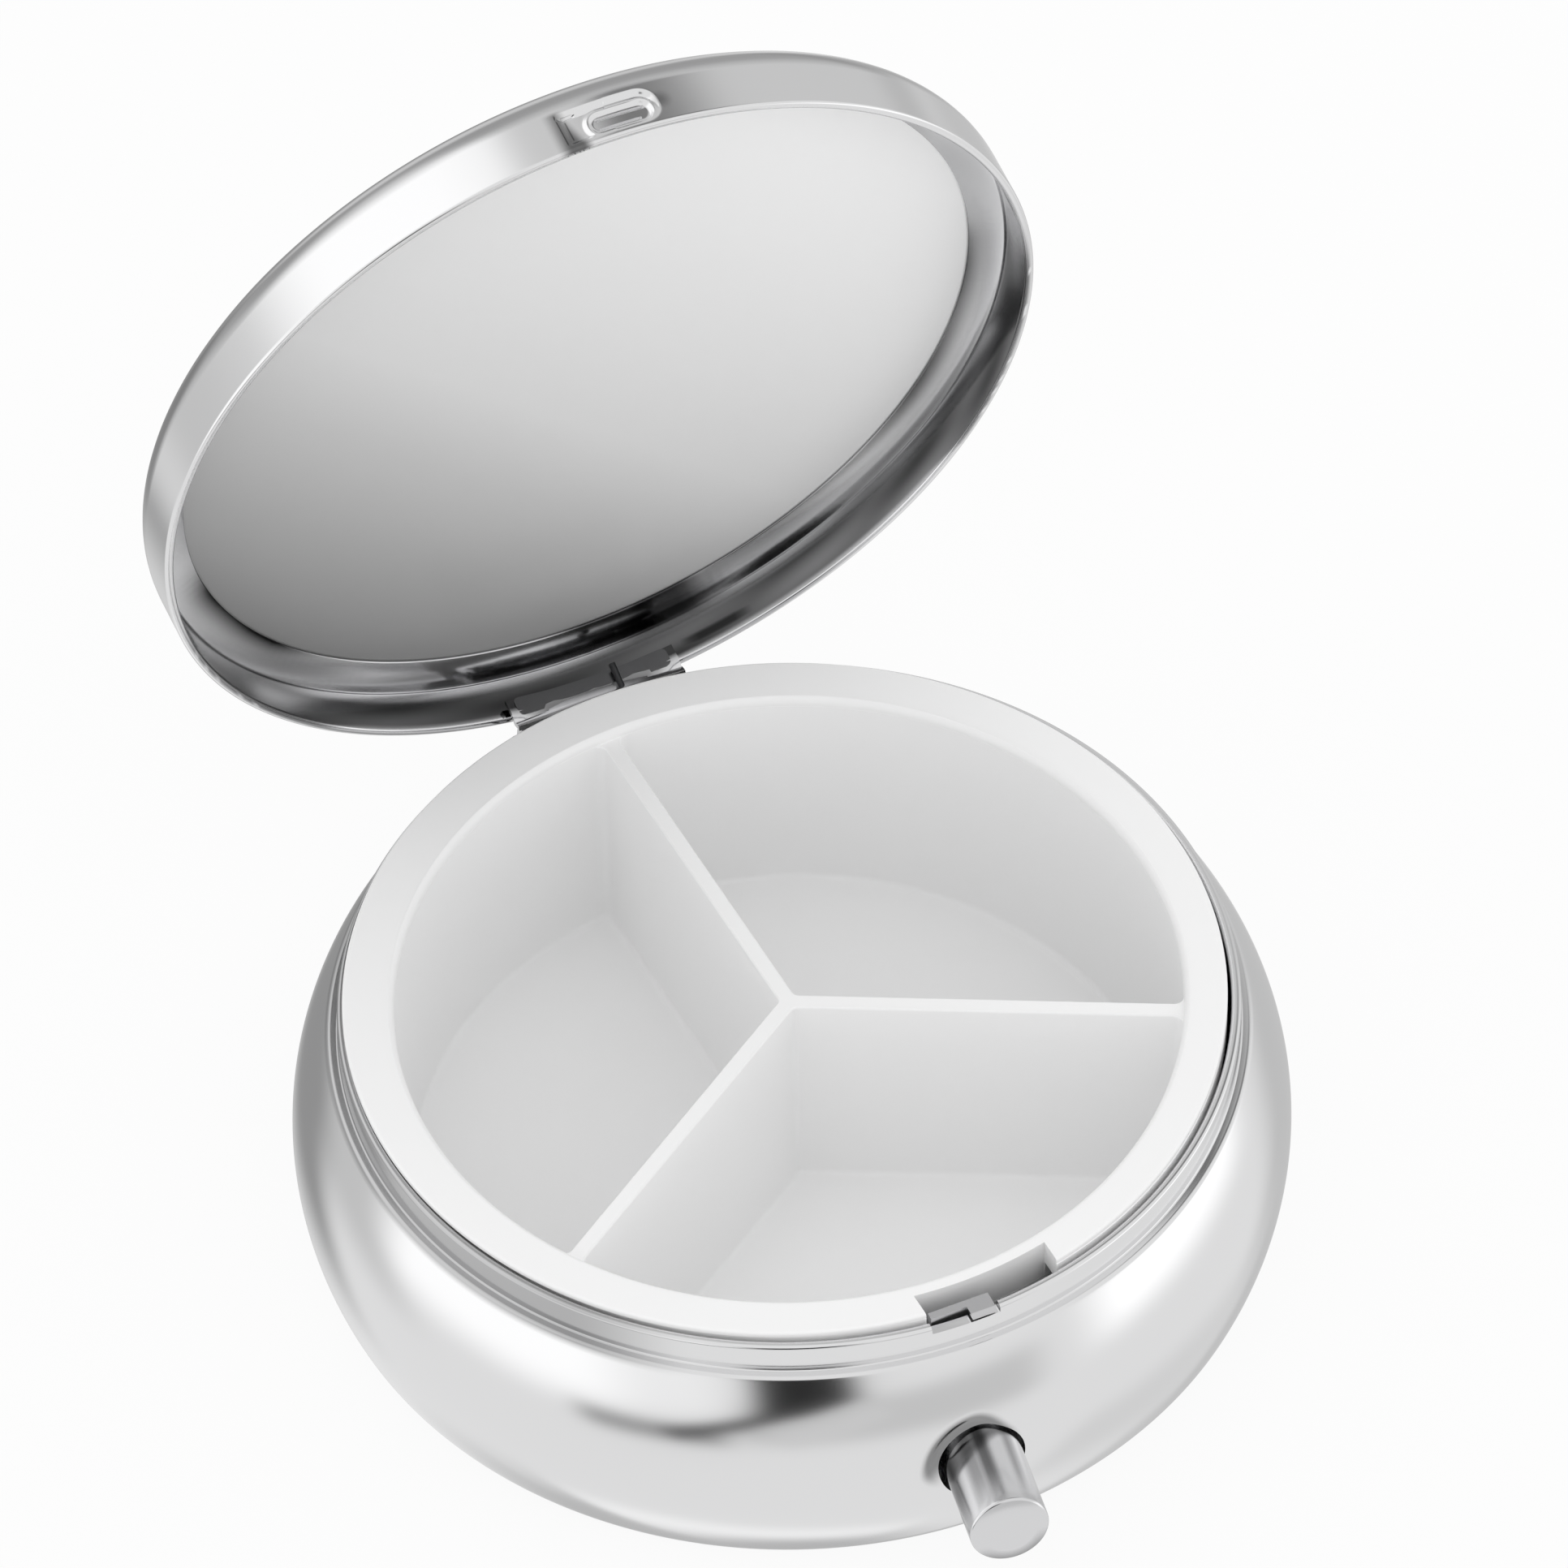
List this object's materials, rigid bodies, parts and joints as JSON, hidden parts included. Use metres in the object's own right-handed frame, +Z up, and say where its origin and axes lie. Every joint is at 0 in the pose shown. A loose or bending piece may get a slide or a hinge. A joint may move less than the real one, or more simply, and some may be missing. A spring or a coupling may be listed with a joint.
{
  "type": "round metal pill box",
  "caption": "Round satin metal pill box with a white divided tray, a hinged mirror lid held open by a spring, and a push button that draws the latch back.",
  "frame": {"origin": "centre of the base's flat bottom face", "axes": "+Z up out of the open box, +Y towards the hinge at the back, -Y towards the push button"},
  "size_m": [0.05, 0.0592, 0.0582],
  "materials": {
    "satin_shell": "satin nickel plate on pressed steel",
    "lid_metal": "satin nickel plate outside, bright plate inside the skirt",
    "white_tray": "white moulded plastic, soft sheen",
    "plated_strip": "bright nickel plated strip",
    "spring_steel": "plain spring steel",
    "polished_button": "polished nickel plate with faint lengthwise turning marks",
    "bezel_metal": "bright nickel plate",
    "mirror": "silvered glass",
    "adhesive_pad": "foam adhesive pad"
  },
  "bodies": {
    "base": {"base_shell": "satin_shell", "pill_tray": "white_tray", "hinge_base_leaf": "plated_strip", "hinge_pin": "spring_steel", "hinge_spring": "spring_steel", "latch_guide": "plated_strip", "latch_spring": "spring_steel"},
    "lid": {"lid_shell": "lid_metal", "mirror_glass": "mirror", "mirror_pad": "adhesive_pad", "mirror_bezel": "bezel_metal", "hinge_lid_leaf": "plated_strip"},
    "button": {"push_button": "polished_button", "latch_hook": "plated_strip"}
  },
  "joints": [
    {"name": "lid_hinge", "type": "hinge", "parent": "base", "child": "lid", "pos_m": [0, 0.02327, 0.01135], "axis": [1, 0, 0], "range_deg": [0, 83], "stiffness_Nm_per_rad": 0.0016, "springref_deg": -34.38, "deforming": ["hinge_spring"]},
    {"name": "button_press", "type": "slide", "parent": "base", "child": "button", "axis": [0, 1, 0], "range_m": [0, 0.0007], "stiffness_N_per_m": 1500, "springref_m": -0.0006, "deforming": ["latch_spring"]}
  ]
}
